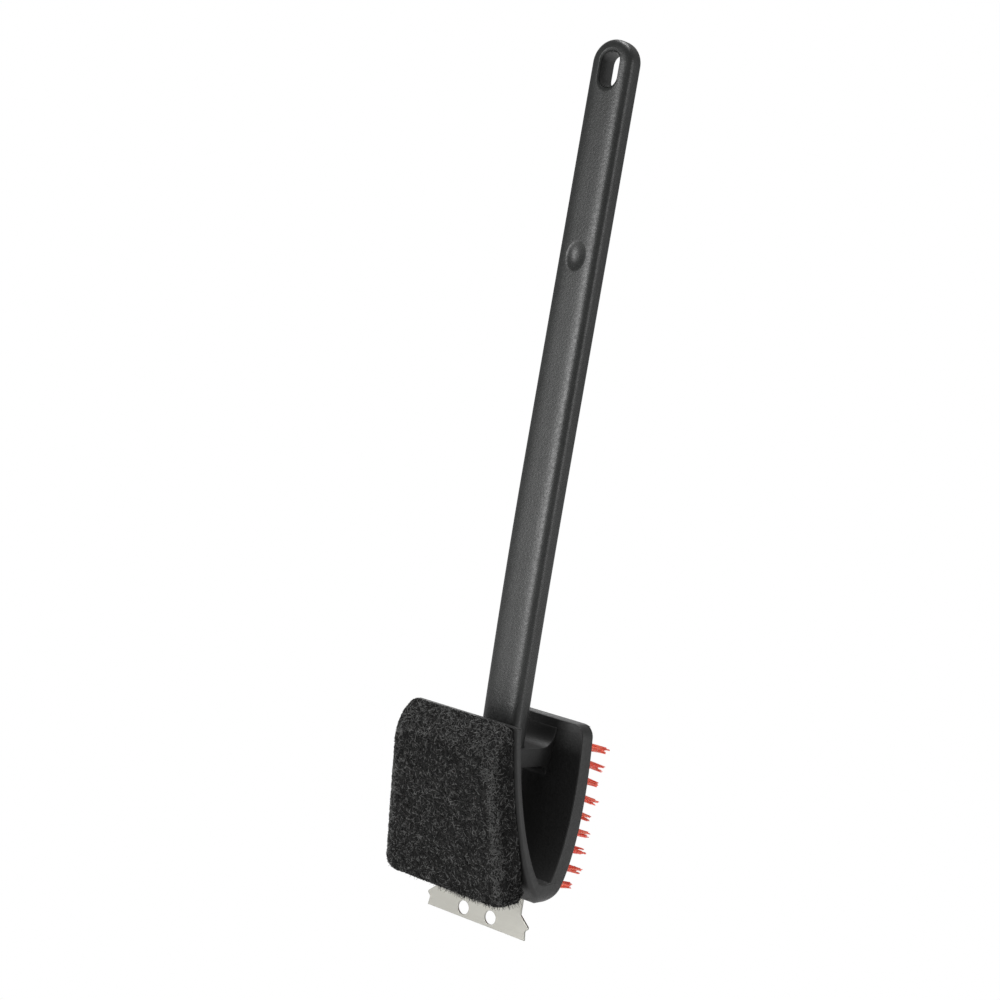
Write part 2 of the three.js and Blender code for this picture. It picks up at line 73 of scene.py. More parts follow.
def new_object(name, points, faces):
    mesh = bpy.data.meshes.new(name)
    mesh.from_pydata([tuple(p) for p in points], [], faces)
    obj = bpy.data.objects.new(name, mesh)
    scene.collection.objects.link(obj)
    return obj


def edit(obj, change):
    """Runs change(bm) on the object's mesh."""
    bm = bmesh.new()
    bm.from_mesh(obj.data)
    change(bm)
    bm.to_mesh(obj.data)
    bm.free()


def close_up(obj, distance=1e-3):
    """Welds doubled points and turns every face outwards."""
    def change(bm):
        bmesh.ops.remove_doubles(bm, verts=bm.verts, dist=distance)
        bmesh.ops.dissolve_degenerate(bm, edges=bm.edges, dist=1e-5)
        bmesh.ops.recalc_face_normals(bm, faces=bm.faces)
    edit(obj, change)


def apply_modifiers(obj):
    bpy.context.view_layer.update()
    graph = bpy.context.evaluated_depsgraph_get()
    mesh = bpy.data.meshes.new_from_object(obj.evaluated_get(graph))
    obj.modifiers.clear()
    old = obj.data
    obj.data = mesh
    bpy.data.meshes.remove(old)


def combine(obj, other, operation):
    """Exact boolean with another object, which is used up."""
    modifier = obj.modifiers.new("combine", "BOOLEAN")
    modifier.operation = operation
    modifier.solver = "EXACT"
    modifier.object = other
    apply_modifiers(obj)
    bpy.data.objects.remove(other)


def bevel(obj, width, segments, angle):
    modifier = obj.modifiers.new("bevel", "BEVEL")
    modifier.width = width
    modifier.segments = segments
    modifier.limit_method = "ANGLE"
    modifier.angle_limit = math.radians(angle)
    apply_modifiers(obj)


def finish_piece(obj, nodes, materials, sharp=35):
    """Scales the piece to metres, shades it, gives it its materials, hides the CAD nodes it stands in for
    and hangs it on the root body.
    """
    obj.data.transform(Matrix.Scale(MM, 4))
    obj.data.polygons.foreach_set("use_smooth", [True] * len(obj.data.polygons))
    obj.data.set_sharp_from_angle(angle=math.radians(sharp))
    obj.data.materials.clear()
    for material in materials:
        obj.data.materials.append(material)
    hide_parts(*nodes)
    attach(obj, "root")
    return obj


def bezier(p0, p1, p2, p3, steps):
    t = np.linspace(0, 1, steps)[:, None]
    p0, p1, p2, p3 = (np.array(p, float) for p in (p0, p1, p2, p3))
    return (1 - t) ** 3 * p0 + 3 * t * (1 - t) ** 2 * p1 + 3 * t * t * (1 - t) * p2 + t ** 3 * p3


def quadratic(p0, p1, p2, steps):
    t = np.linspace(0, 1, steps)[:, None]
    p0, p1, p2 = (np.array(p, float) for p in (p0, p1, p2))
    return (1 - t) ** 2 * p0 + 2 * t * (1 - t) * p1 + t * t * p2


def prism_along_x(name, outline, x0, x1):
    """A closed prism along X from an outline of (y, z) points."""
    n = len(outline)
    points = [(x, y, z) for x in (x0, x1) for y, z in outline]
    faces = [(i, (i + 1) % n, n + (i + 1) % n, n + i) for i in range(n)]
    faces += [tuple(range(n)), tuple(range(n, 2 * n))]
    obj = new_object(name, points, faces)
    close_up(obj)
    return obj


def block(name, low, high):
    y0, z0, y1, z1 = low[1], low[2], high[1], high[2]
    return prism_along_x(name, [(y0, z0), (y1, z0), (y1, z1), (y0, z1)], low[0], high[0])


# ---- Materials ----

class Nodes:
    """A small helper to wire a procedural material."""

    def __init__(self, name):
        self.material = bpy.data.materials.new(name)
        self.material.use_nodes = True
        self.tree = self.material.node_tree
        self.shader = self.tree.nodes["Principled BSDF"]
        self.place = self.add("ShaderNodeTexCoord").outputs["Object"]

    def add(self, kind, **values):
        node = self.tree.nodes.new(kind)
        for name, value in values.items():
            if hasattr(node, name):
                setattr(node, name, value)
            else:
                node.inputs[name.replace("_", " ").title()].default_value = value
        return node

    def link(self, source, target):
        self.tree.links.new(source, target)

    def noise(self, scale, detail=3.0, roughness=0.5, place=None):
        node = self.add("ShaderNodeTexNoise", scale=scale, detail=detail, roughness=roughness)
        self.link(place or self.place, node.inputs["Vector"])
        return node.outputs["Fac"]

    def ramp(self, factor, low, high, low_value, high_value):
        node = self.add("ShaderNodeMapRange")
        limits = (("From Min", low), ("From Max", high), ("To Min", low_value), ("To Max", high_value))
        for name, value in limits:
            node.inputs[name].default_value = value
        self.link(factor, node.inputs["Value"])
        return node.outputs["Result"]

    def colours(self, factor, stops):
        node = self.add("ShaderNodeValToRGB")
        elements = node.color_ramp.elements
        while len(elements) < len(stops):
            elements.new(0.5)
        for element, (position, colour) in zip(elements, stops):
            element.position = position
            element.color = (*colour, 1)
        self.link(factor, node.inputs["Fac"])
        return node.outputs["Color"]

    def bump(self, height, strength, distance, normal=None):
        node = self.add("ShaderNodeBump")
        node.inputs["Strength"].default_value = strength
        node.inputs["Distance"].default_value = distance
        self.link(height, node.inputs["Height"])
        if normal is not None:
            self.link(normal, node.inputs["Normal"])
        return node.outputs["Normal"]

    def stretched(self, x, y, z):
        node = self.add("ShaderNodeMapping")
        node.inputs["Scale"].default_value = (x, y, z)
        self.link(self.place, node.inputs["Vector"])
        return node.outputs["Vector"]


def moulded_plastic(name, dark, light, roughness):
    """Charcoal plastic with a fine mould grain and faint flow clouds."""
    n = Nodes(name)
    clouds = n.noise(60, 4, 0.6)
    n.link(n.colours(clouds, [(0.3, dark), (0.7, light)]), n.shader.inputs["Base Color"])
    grain = n.noise(1700, 2, 0.6)
    pores = n.noise(760, 3, 0.6)
    n.link(n.ramp(pores, 0.3, 0.7, roughness - 0.06, roughness + 0.08), n.shader.inputs["Roughness"])
    soft = n.bump(pores, 0.26, 0.0004)
    n.link(n.bump(grain, 0.22, 0.00012, soft), n.shader.inputs["Normal"])
    n.shader.inputs["Specular IOR Level"].default_value = 0.5
    return n.material


def steel(name, colour, roughness, grain_axis):
    """Satin steel with fine rolling lines along one axis."""
    n = Nodes(name)
    n.shader.inputs["Metallic"].default_value = 1.0
    stretch = [700.0, 700.0, 700.0]
    stretch["XYZ".index(grain_axis)] = 14.0
    lines = n.noise(1.0, 3, 0.6, n.stretched(*stretch))
    clouds = n.noise(45, 3, 0.6)
    tone = tuple(c * 0.9 for c in colour)
    n.link(n.colours(clouds, [(0.3, tone), (0.75, colour)]), n.shader.inputs["Base Color"])
    n.link(n.ramp(lines, 0.3, 0.7, roughness - 0.05, roughness + 0.08), n.shader.inputs["Roughness"])
    n.link(n.bump(lines, 0.12, 0.00008), n.shader.inputs["Normal"])
    return n.material


def fibre(name, dark, light, roughness):
    """Abrasive fibre, with grit that catches the light."""
    n = Nodes(name)
    grit = n.noise(2600, 2, 0.7)
    patches = n.noise(180, 3, 0.6)
    n.link(n.colours(patches, [(0.3, dark), (0.7, light)]), n.shader.inputs["Base Color"])
    n.link(n.bump(grit, 0.5, 0.0001), n.shader.inputs["Normal"])
    n.shader.inputs["Roughness"].default_value = roughness
    n.shader.inputs["Specular IOR Level"].default_value = 0.3
    return n.material


def filament(name, dark, light):
    """Coloured nylon filament that lets a little light through."""
    n = Nodes(name)
    tone = n.noise(240, 2, 0.5)
    n.link(n.colours(tone, [(0.3, dark), (0.7, light)]), n.shader.inputs["Base Color"])
    n.shader.inputs["Roughness"].default_value = 0.38
    n.shader.inputs["Subsurface Weight"].default_value = 0.35
    n.shader.inputs["Subsurface Radius"].default_value = (0.0015, 0.0006, 0.0004)
    n.shader.inputs["Subsurface Scale"].default_value = 1.0
    n.link(n.bump(n.noise(1800, 2, 0.5), 0.1, 0.00005), n.shader.inputs["Normal"])
    return n.material


HANDLE_PLASTIC = moulded_plastic("handle_plastic", (0.0105, 0.0112, 0.0108), (0.017, 0.018, 0.0175), 0.385)
HEAD_PLASTIC = moulded_plastic("head_plastic", (0.0085, 0.0085, 0.0084), (0.013, 0.013, 0.0128), 0.5)
PAD_CORE = fibre("pad_core", (0.004, 0.004, 0.004), (0.009, 0.009, 0.0085), 0.95)
PAD_FIBRES = [
    fibre("pad_fibre_dark", (0.0035, 0.0035, 0.0034), (0.0065, 0.0065, 0.0062), 0.9),
    fibre("pad_fibre_mid", (0.0105, 0.0105, 0.0101), (0.0195, 0.0195, 0.0188), 0.75),
    fibre("pad_fibre_light", (0.049, 0.049, 0.048), (0.102, 0.102, 0.1), 0.6),
]
BLADE_STEEL = steel("blade_steel", (0.35, 0.344, 0.315), 0.42, "X")
SCREW_STEEL = steel("screw_steel", (0.55, 0.55, 0.54), 0.35, "Z")
BRISTLE = [
    filament("bristle_deep", (0.8, 0.04, 0.016), (0.9, 0.075, 0.034)),
    filament("bristle_bright", (0.93, 0.1, 0.052), (0.97, 0.16, 0.09)),
]


# ---- Handle ----

HANDLE = dict(
    half_width=12.1, foot_half_width=11.7, half_thickness=6.6, power=4.0, end_z=3.3,
    bow_from=-200.0, foot_z=-351.9, bow=3.2,
)
RING = 112
DIMPLE = dict(z=-94.5, half_width=5.9, half_height=7.8, depth=1.7)
SLOT = dict(half_width=5.4, reach=3.7, rim=1.7, end_rim=2.7)


def superellipse(a, b, power, count):
    """Evenly spaced points of a superellipse, from the middle of the -Y side, turning through +X."""
    t = np.linspace(0, 2 * math.pi, 8001)
    c, s = np.sin(t), -np.cos(t)
    x = a * np.sign(c) * np.abs(c) ** (2 / power)
    y = b * np.sign(s) * np.abs(s) ** (2 / power)
    length = np.concatenate([[0], np.cumsum(np.hypot(np.diff(x), np.diff(y)))])
    at = np.linspace(0, length[-1], count + 1)[:-1]
    return np.stack([np.interp(at, length, x), np.interp(at, length, y)], 1)


def handle_bow(z):
    below = np.clip((HANDLE["bow_from"] - z) / (HANDLE["bow_from"] - HANDLE["foot_z"]), 0, None)
    return HANDLE["bow"] * below ** 2


def handle_section(z, grow=0.0):
    t = np.clip((HANDLE["bow_from"] - z) / (HANDLE["bow_from"] - HANDLE["foot_z"]), 0, 1)
    ease = t * t * (3 - 2 * t)
    half = HANDLE["half_width"] + (HANDLE["foot_half_width"] - HANDLE["half_width"]) * ease
    ring = superellipse(half + grow, HANDLE["half_thickness"] + grow, HANDLE["power"], RING)
    ring[:, 1] += handle_bow(z)
    return ring


def dimple(x, z):
    """Depth of the thumb dimple at a point of the front face."""
    r = math.hypot(x / DIMPLE["half_width"], (z - DIMPLE["z"]) / DIMPLE["half_height"])
    return DIMPLE["depth"] * (1 - r ** 2.6) ** 1.5 if r < 1 else 0.0


def skin(rings, cap_last=True):
    """Points and faces of a tube through equal rings, closed at its first end."""
    n = len(rings[0])
    points = [p for ring in rings for p in ring]
    faces = []
    for k in range(len(rings) - 1):
        for i in range(n):
            j = (i + 1) % n
            faces.append((k * n + i, k * n + j, (k + 1) * n + j, (k + 1) * n + i))
    faces.append(tuple(range(n)))
    if cap_last:
        faces.append(tuple(range((len(rings) - 1) * n, len(rings) * n)))
    return points, faces


def make_handle():
    foot, end = HANDLE["foot_z"], HANDLE["end_z"]
    # Levels are closer together at the thumb dimple.
    fine_from, fine_to, step, fine_step = -104, -85, 1.6, 0.5
    levels = np.concatenate([
        np.arange(foot, fine_from, step), np.arange(fine_from, fine_to, fine_step),
        np.arange(fine_to, end - 0.5, step), [end]])
    rings = []
    for z in levels:
        ring = []
        for x, y in handle_section(z):
            if y < 0:
                y += dimple(x, z)
            ring.append((x, y, z))
        rings.append(ring)
    points, faces = skin(rings, cap_last=False)
    # The free end: half of the section turned through half a circle about the slot's upper part.
    half = handle_section(end)[: RING // 2 + 1]
    turns = 56
    start = len(points)
    for k in range(turns + 1):
        angle = math.pi * k / turns
        points += [(x * math.cos(angle), y, end + x * math.sin(angle)) for x, y in half]
    m = len(half)
    for k in range(turns):
        for i in range(m - 1):
            a = start + k * m + i
            faces.append((a, a + 1, a + m + 1, a + m))
    obj = new_object("handle_body", points, faces)
    close_up(obj)
    combine(obj, slot_cutter(), "DIFFERENCE")
    return obj


def slot_cutter():
    """The hanging slot: a stadium through the handle with rounded rims on both faces."""
    half_width, reach, rim, end_rim = SLOT["half_width"], SLOT["reach"], SLOT["rim"], SLOT["end_rim"]
    face = HANDLE["half_thickness"]
    rim_steps, around = 9, 72
    levels = [(face + 1, rim)]
    for k in range(rim_steps, -1, -1):
        a = math.pi / 2 * k / rim_steps
        levels.append((face - rim + rim * math.sin(a), rim * (1 - math.cos(a))))
    levels += [(-y, grow) for y, grow in reversed(levels)]
    rings = []
    for y, grow in levels:
        ring = []
        for i in range(around):
            a = 2 * math.pi * (i + 0.5) / around
            longer = reach + grow * (end_rim - rim) / rim
            z = (half_width + grow) * math.sin(a) + math.copysign(longer, math.sin(a))
            ring.append(((half_width + grow) * math.cos(a), y, z))
        rings.append(ring)
    obj = new_object("slot_cutter", *skin(rings))
    close_up(obj)
    return obj


finish_piece(make_handle(), ["handle"], [HANDLE_PLASTIC])

# ---- Head ----

PAD_TOP, BRISTLE_TOP, TIP = -328.4, -330.1, -418.6
TOP_HALF_WIDTH, TIP_HALF_WIDTH = 32.9, 44.2
# The bristle wall is this much narrower to a side at its top, where its corners have the top radius.
BRISTLE_NARROWER = 1.6
TOP_RADIUS, TIP_RADIUS = 6, 8
# The walls' levels draw together over this height above the floor of the hollow.
FLOOR_ZONE = 4
# Width of the rounding on the pad wall's outer edges, and the share of it that every other edge has.
EDGE_ROUNDING, BROKEN_SHARE = 2.3, 0.35
# The outlines of the two walls, as (y, z) points that run down to the tip.
PAD_OUT = np.concatenate([
    bezier((-33.1, PAD_TOP), (-31, -363), (-19.5, -403), (-3.5, -416), 400),
    quadratic((-3.5, -416), (3.5, TIP - 4), (13, -413.2), 200)[1:]])
BRISTLE_OUT = bezier((37.5, BRISTLE_TOP), (36.1, -362), (28.5, -396), (13, -413.2), 400)
BRISTLE_IN = np.concatenate([
    bezier((27.8, BRISTLE_TOP), (26.9, -360), (18.2, -391), (5.6, -407.3), 400),
    quadratic((5.6, -407.3), (1.2, -408.8), (-4, -406.3), 100)[1:]])
PAD_IN = bezier((-27.8, PAD_TOP), (-26.5, -358), (-18, -390), (-4, -406.3), 400)


def y_on(curve, z):
    return float(np.interp(-z, -curve[:, 1], curve[:, 0]))


def half_width(z):
    return TOP_HALF_WIDTH + (PAD_TOP - z) * (TIP_HALF_WIDTH - TOP_HALF_WIDTH) / (PAD_TOP - TIP)


def lowest_split(first, second):
    """Two curves that run down and meet, parted at their lowest point instead."""
    whole = np.concatenate([first, second[::-1]])
    low = int(np.argmin(whole[:, 1]))
    return whole[:low + 1], whole[low:][::-1]


def end_half(z, bristle):
    """Half the width of the head at a height, with its round corners."""
    half = half_width(z)
    if bristle:
        half -= BRISTLE_NARROWER * min(1.0, max(0.0, (z - FLOOR_Z) / (BRISTLE_TOP - FLOOR_Z)))
        drop = max(0.0, z - (BRISTLE_TOP - TOP_RADIUS))
        half -= TOP_RADIUS - math.sqrt(max(0.0, TOP_RADIUS ** 2 - drop * drop))
    bottom = TIP - 0.1
    drop = max(0.0, bottom + TIP_RADIUS - z)
    return half - TIP_RADIUS + math.sqrt(max(0.0, TIP_RADIUS ** 2 - drop * drop))


OUTER_PAD, OUTER_BRISTLE = lowest_split(PAD_OUT, BRISTLE_OUT)
INNER_PAD, INNER_BRISTLE = lowest_split(PAD_IN, BRISTLE_IN)
LOW_Z, FLOOR_Z = OUTER_PAD[-1, 1], INNER_PAD[-1, 1]


def wall_levels(top, bristle):
    """Heights of a wall's rings from its top to the floor, closer together where the outline turns."""
    tall = np.linspace(top, FLOOR_Z + FLOOR_ZONE, 44)
    if bristle:
        round_part = top - TOP_RADIUS + TOP_RADIUS * np.cos(np.linspace(0, math.pi / 2, 11))
        tall = np.concatenate([round_part, np.linspace(top - TOP_RADIUS, FLOOR_Z + FLOOR_ZONE, 40)[1:]])
    return np.concatenate([tall, FLOOR_Z + FLOOR_ZONE * (1 - np.linspace(0, 1, 9)[1:]) ** 2])


def make_shell():
    """The U of the head: two curved walls that meet in the tip, with sloping ends."""
    points, faces = [], []
    tip_levels = LOW_Z + (FLOOR_Z - LOW_Z) * (1 - np.linspace(0, 1, 15)[1:]) ** 2

    def chain(side, curve, levels, bristle):
        first = len(points)
        points.extend((side * end_half(z, bristle), y_on(curve, z), z) for z in levels)
        return list(range(first, len(points)))

    def strip(a, b):
        for k in range(len(a) - 1):
            faces.append((a[k], a[k + 1], b[k + 1], b[k]))

    ends = []
    pad_levels, bristle_levels = wall_levels(PAD_TOP, False), wall_levels(BRISTLE_TOP, True)
    for side in (-1, 1):
        ends.append(dict(
            pad_out=chain(side, OUTER_PAD, pad_levels, False),
            pad_in=chain(side, INNER_PAD, pad_levels, False),
            bristle_out=chain(side, OUTER_BRISTLE, bristle_levels, True),
            bristle_in=chain(side, INNER_BRISTLE, bristle_levels, True),
            tip_pad=chain(side, OUTER_PAD, tip_levels, False),
            tip_bristle=chain(side, OUTER_BRISTLE, tip_levels, True)))
    for end in ends:
        strip(end["pad_out"], end["pad_in"])
        strip(end["bristle_out"], end["bristle_in"])
        faces.append((end["pad_out"][-1], end["tip_pad"][0], end["tip_bristle"][0],
                      end["bristle_out"][-1], end["pad_in"][-1]))
        strip(end["tip_pad"], end["tip_bristle"])
    left, right = ends
    for name in left:
        strip(left[name], right[name])
    for wall in ("pad", "bristle"):
        outer, tip = wall + "_out", "tip_" + wall
        strip([left[outer][-1], left[tip][0]], [right[outer][-1], right[tip][0]])
    for wall in ("pad", "bristle"):
        outer, inner = wall + "_out", wall + "_in"
        faces.append((left[outer][0], left[inner][0], right[inner][0], right[outer][0]))
    obj = new_object("head_body", points, faces)
    close_up(obj)
    edit(obj, weigh_shell_edges)
    modifier = obj.modifiers.new("bevel", "BEVEL")
    modifier.width = EDGE_ROUNDING
    modifier.segments = 4
    modifier.limit_method = "WEIGHT"
    modifier.use_clamp_overlap = False
    apply_modifiers(obj)
    return obj


def weigh_shell_edges(bm):
    """Full rounding on the pad wall's outer end edges, less round the tip, and a broken edge elsewhere."""
    sharp = math.radians(42)
    # The full rounding fades between these two places along Y.
    fade_end, fade_length = 5, 14
    layer = bm.edges.layers.float.new("bevel_weight_edge")
    for edge in bm.edges:
        if len(edge.link_faces) != 2 or edge.calc_face_angle() < sharp:
            continue
        (_, y0, z0), (_, y1, z1) = (v.co for v in edge.verts)
        y, z = (y0 + y1) / 2, (z0 + z1) / 2
        edge[layer] = BROKEN_SHARE
        on_outer_face = abs(y - y_on(OUTER_PAD, z)) < 0.2
        if abs(z1 - z0) > abs(y1 - y0) * 0.02 and y < fade_end and on_outer_face:
            fade = min(1.0, max(0.0, (fade_end - y) / fade_length))
            edge[layer] = BROKEN_SHARE + (1 - BROKEN_SHARE) * fade


def make_bridge():
    """The bridge between the walls, coved into both of them, with the boss under it."""
    top, bottom, half_length = -345.0, -354.8, 15.5
    outline = [(-30, top + 10), (-27, top + 10)]
    outline += [tuple(p) for p in quadratic((-27, top + 10), (-26.2, top), (-17, top), 12)[1:]]
    outline += [tuple(p) for p in quadratic((17, top), (26.8, top), (27.3, top + 10.5), 12)]
    outline += [(31, top + 10.5), (28.5, bottom - 8)]
    outline += [tuple(p) for p in quadratic((24.8, bottom - 8), (24.9, bottom), (18.5, bottom), 10)]
    outline += [tuple(p) for p in quadratic((-18, bottom), (-23.5, bottom), (-23.6, bottom - 7), 10)]
    outline += [(-27, bottom - 7)]
    bridge = prism_along_x("bridge", outline, -half_length, half_length)
    bevel(bridge, 0.6, 3, 60)
    bow = float(handle_bow(HANDLE["foot_z"]))
    boss_half_width, boss_half_depth, boss_foot = 11.4, 6.8, -372
    boss = block("boss", (-boss_half_width, bow - boss_half_depth, boss_foot),
                 (boss_half_width, bow + boss_half_depth, bottom + 1))
    bevel(boss, 1.2, 3, 60)
    combine(bridge, boss, "UNION")
    return bridge


def make_head():
    shell = make_shell()
    combine(shell, make_bridge(), "UNION")
    gap = 0.3
    levels = (HANDLE["foot_z"] - gap, -349.0, -346.0, -343.0)
    rings = [[(x, y, z) for x, y in handle_section(z, gap)] for z in levels]
    socket = new_object("socket", *skin(rings))
    close_up(socket)
    combine(shell, socket, "DIFFERENCE")
    combine(shell, block("blade_slot", (-27.3, 6.4, -422), (27.3, 8.2, -407.7)), "DIFFERENCE")
    return shell


finish_piece(make_head(), ["head_shell"], [HEAD_PLASTIC])

# ---- Scraper blade ----

BLADE = dict(y=7.3, thickness=1.2, hole_x=8.95, hole_z=-435.7, hole_radius=3.6)


def make_blade():
    """Flat plate with notched ears and two round holes, with its edges just broken."""
    half = [
        (27.0, -408.0), (27.4, -428.6), (32.7, -433.1), (33.25, -433.7), (33.35, -434.4), (32.9, -435.0),
        (32.2, -435.5), (31.75, -436.0), (31.6, -436.9), (32.2, -440.8),
    ]
    outline = half + [(-x, z) for x, z in reversed(half)]
    broken = 0.15
    curve = bpy.data.curves.new("blade", "CURVE")
    curve.dimensions = "2D"
    curve.fill_mode = "BOTH"
    curve.extrude = BLADE["thickness"] / 2 - broken
    curve.bevel_depth = broken
    curve.bevel_resolution = 2
    curve.offset = -broken
    r, around = BLADE["hole_radius"], 48
    turns = [2 * math.pi * k / around for k in range(around)]
    circles = [[(cx + r * math.cos(a), BLADE["hole_z"] + r * math.sin(a)) for a in turns]
               for cx in (-BLADE["hole_x"], BLADE["hole_x"])]
    for loop in (outline, *circles):
        spline = curve.splines.new("POLY")
        spline.points.add(len(loop) - 1)
        for point, (x, z) in zip(spline.points, loop):
            point.co = (x, z, 0, 1)
        spline.use_cyclic_u = True
    curve_object = bpy.data.objects.new("blade_curve", curve)
    scene.collection.objects.link(curve_object)
    bpy.context.view_layer.update()
    graph = bpy.context.evaluated_depsgraph_get()
    mesh = bpy.data.meshes.new_from_object(curve_object.evaluated_get(graph))
    bpy.data.objects.remove(curve_object)
    mesh.transform(Matrix.Translation((0, BLADE["y"], 0)) @ Matrix.Rotation(math.pi / 2, 4, "X"))
    obj = bpy.data.objects.new("blade_plate", mesh)
    scene.collection.objects.link(obj)
    close_up(obj, 1e-4)
    return obj


finish_piece(make_blade(), ["scraper_blade"], [BLADE_STEEL], 10)

# ---- Scouring pad ----

PAD = dict(top_z=-326.4, height=92.7, top_half_width=30.4, foot_half_width=38.8)
VOXEL = 1.1
FIBRES, FRINGE_FIBRES = 23000, 1500
FIBRE_RINGS, FRINGE_RINGS, FIBRE_SIDES = 3, 4, 3
# Shares of dark, middling and light fibres.
# Painted light: the top gets many more light fibres, as if lit from above.
LIT_TOP_TONES = (0.08, 0.34, 0.58)
# Painted highlight: a band of mostly light fibres along the front's side edges.
EDGE_HIGHLIGHT_TONES = (0.02, 0.18, 0.8)
SIDE_TONES = (0.38, 0.36, 0.26)
FRONT_TONES = (0.4, 0.34, 0.26)
FRINGE_TONES = (0.35, 0.45, 0.2)


def tangent_frame(normal):
    side = np.cross(normal, (0.0, 0.0, 1.0) if abs(normal[2]) < 0.9 else (1.0, 0.0, 0.0))
    side /= np.linalg.norm(side)
    return side, np.cross(normal, side)


def add_ring(points, centre, size, across, rise, sides):
    for corner in range(sides):
        a = 2 * math.pi * corner / sides
        points.append(centre + size * (math.cos(a) * across + math.sin(a) * rise))


def tube_faces(base, rings, sides):
    """Faces of a closed thin tube whose rings of points start at `base`."""
    faces = []
    for k in range(rings - 1):
        for corner in range(sides):
            a, b = base + sides * k + corner, base + sides * k + (corner + 1) % sides
            faces.append((a, b, b + sides, a + sides))
    faces.append(tuple(base + i for i in range(sides - 1, -1, -1)))
    faces.append(tuple(base + sides * (rings - 1) + i for i in range(sides)))
    return faces


def make_pad_core():
    """The CAD block, remeshed and smoothed. The fibres are laid on it afterwards."""
    obj = bpy.data.objects.new("pad_core_body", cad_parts["scouring_pad"].data.copy())
    scene.collection.objects.link(obj)
    obj.data.transform(Matrix.Scale(1 / MM, 4))
    remesh = obj.modifiers.new("remesh", "REMESH")
    remesh.mode = "VOXEL"
    remesh.voxel_size = VOXEL
    smooth = obj.modifiers.new("smooth", "SMOOTH")
    smooth.factor = 0.5
    smooth.iterations = 6
    apply_modifiers(obj)
    return obj


def lay_strand(tree, place, heading, length, radius, lift, turn, points):
    """One short fibre that follows the surface; its rings of three points go to `points`."""
    for k in range(FIBRE_RINGS):
        t = k / (FIBRE_RINGS - 1)
        near, normal, _, _ = tree.find_nearest(Vector(place))
        near, normal = np.array(near), np.array(normal)
        side, rise = tangent_frame(normal)
        ahead_here = math.cos(heading) * side + math.sin(heading) * rise
        beside = np.cross(normal, ahead_here)
        centre = near + normal * (lift - 0.25 * (2 * t - 1) ** 2)
        size = radius * (1 - 0.4 * abs(2 * t - 1) ** 3)
        add_ring(points, centre, size, beside, normal, FIBRE_SIDES)
        place = near + ahead_here * length / (FIBRE_RINGS - 1)
        heading += turn


def tone_shares(place, normal):
    """How many fibres are dark, middling and light: most light ones on the top as painted light, and along
    the front's side edges as a painted highlight.
    """
    wider = PAD["foot_half_width"] - PAD["top_half_width"]
    half = PAD["top_half_width"] + wider * (PAD["top_z"] - place[2]) / PAD["height"]
    beyond = abs(place[0]) - half
    # Painted light on the top.
    if normal[2] > 0.3:
        return LIT_TOP_TONES
    # Painted highlight along the front's side edges.
    if normal[1] < -0.3 and -4.5 < beyond < 0.3:
        return EDGE_HIGHLIGHT_TONES
    if beyond > 0:
        return SIDE_TONES
    return FRONT_TONES


def lay_fibres(obj, count):
    """Short stiff fibres that lie in and just over the core's open faces."""
    tree = BVHTree.FromPolygons([v.co for v in obj.data.vertices], [p.vertices for p in obj.data.polygons])
    centres = np.array([p.center for p in obj.data.polygons])
    normals = np.array([p.normal for p in obj.data.polygons])
    areas = np.array([p.area for p in obj.data.polygons])
    # Not on the back, which is bonded to the wall.
    weight = areas * (normals[:, 1] < 0.35)
    chosen = rng.choice(len(centres), count, p=weight / weight.sum())
    points, faces, tones = [], [], []
    for index in chosen:
        side, rise = tangent_frame(normals[index])
        place = centres[index] + rng.uniform(-0.5, 0.5) * side + rng.uniform(-0.5, 0.5) * rise
        base = len(points)
        lay_strand(
            tree, place, rng.uniform(0, 2 * math.pi), rng.uniform(1.1, 3.1), rng.uniform(0.14, 0.24),
            rng.uniform(-0.1, 0.5), rng.normal(0, 0.16), points)
        strand = tube_faces(base, FIBRE_RINGS, FIBRE_SIDES)
        faces += strand
        tones += [int(rng.choice(3, p=tone_shares(centres[index], normals[index])))] * len(strand)
    return points, faces, tones


def lay_fringe(obj, count):
    """Loose fibre ends that hang from the pad's lower edge."""
    centres = np.array([p.center for p in obj.data.polygons])
    normals = np.array([p.normal for p in obj.data.polygons])
    low = np.flatnonzero((normals[:, 2] < -0.3) & (centres[:, 2] < centres[:, 2].min() + 4))
    # Thin at the far end and thicker towards the middle, where the scraper is.
    weight = np.exp(-((centres[low, 0] - 18) / 17) ** 2) + 0.04
    points, faces, tones = [], [], []
    for index in rng.choice(low, count, p=weight / weight.sum()):
        start = centres[index] + np.array((0, 0, 0.6))
        aim = np.array((rng.normal(0, 0.9), rng.normal(0, 0.5), -1.0))
        aim /= np.linalg.norm(aim)
        side, rise = tangent_frame(aim)
        length, radius = rng.uniform(1.2, 3.9), rng.uniform(0.1, 0.18)
        bend = rng.normal(0, 0.5)
        base = len(points)
        for k in range(FRINGE_RINGS):
            t = k / (FRINGE_RINGS - 1)
            centre = start + aim * length * t + side * bend * t * t
            add_ring(points, centre, radius * (1 - 0.6 * t), side, rise, FIBRE_SIDES)
        strand = tube_faces(base, FRINGE_RINGS, FIBRE_SIDES)
        faces += strand
        tones += [int(rng.choice(3, p=FRINGE_TONES))] * len(strand)
    return points, faces, tones


def make_scouring_pad():
    core = make_pad_core()
    points = [tuple(v.co) for v in core.data.vertices]
    faces = [tuple(p.vertices) for p in core.data.polygons]
    index = [0] * len(faces)
    for strand_points, strands, tones in (lay_fibres(core, FIBRES), lay_fringe(core, FRINGE_FIBRES)):
        start = len(points)
        points += [tuple(p) for p in strand_points]
        faces += [tuple(start + v for v in f) for f in strands]
        index += [1 + t for t in tones]
    bpy.data.objects.remove(core)
    obj = new_object("scouring_pad_felt", points, faces)
    finish_piece(obj, ["scouring_pad"], [PAD_CORE, *PAD_FIBRES], 80)
    obj.data.polygons.foreach_set("material_index", index)
    return obj


pad = make_scouring_pad()

# ---- Bristle tufts ----

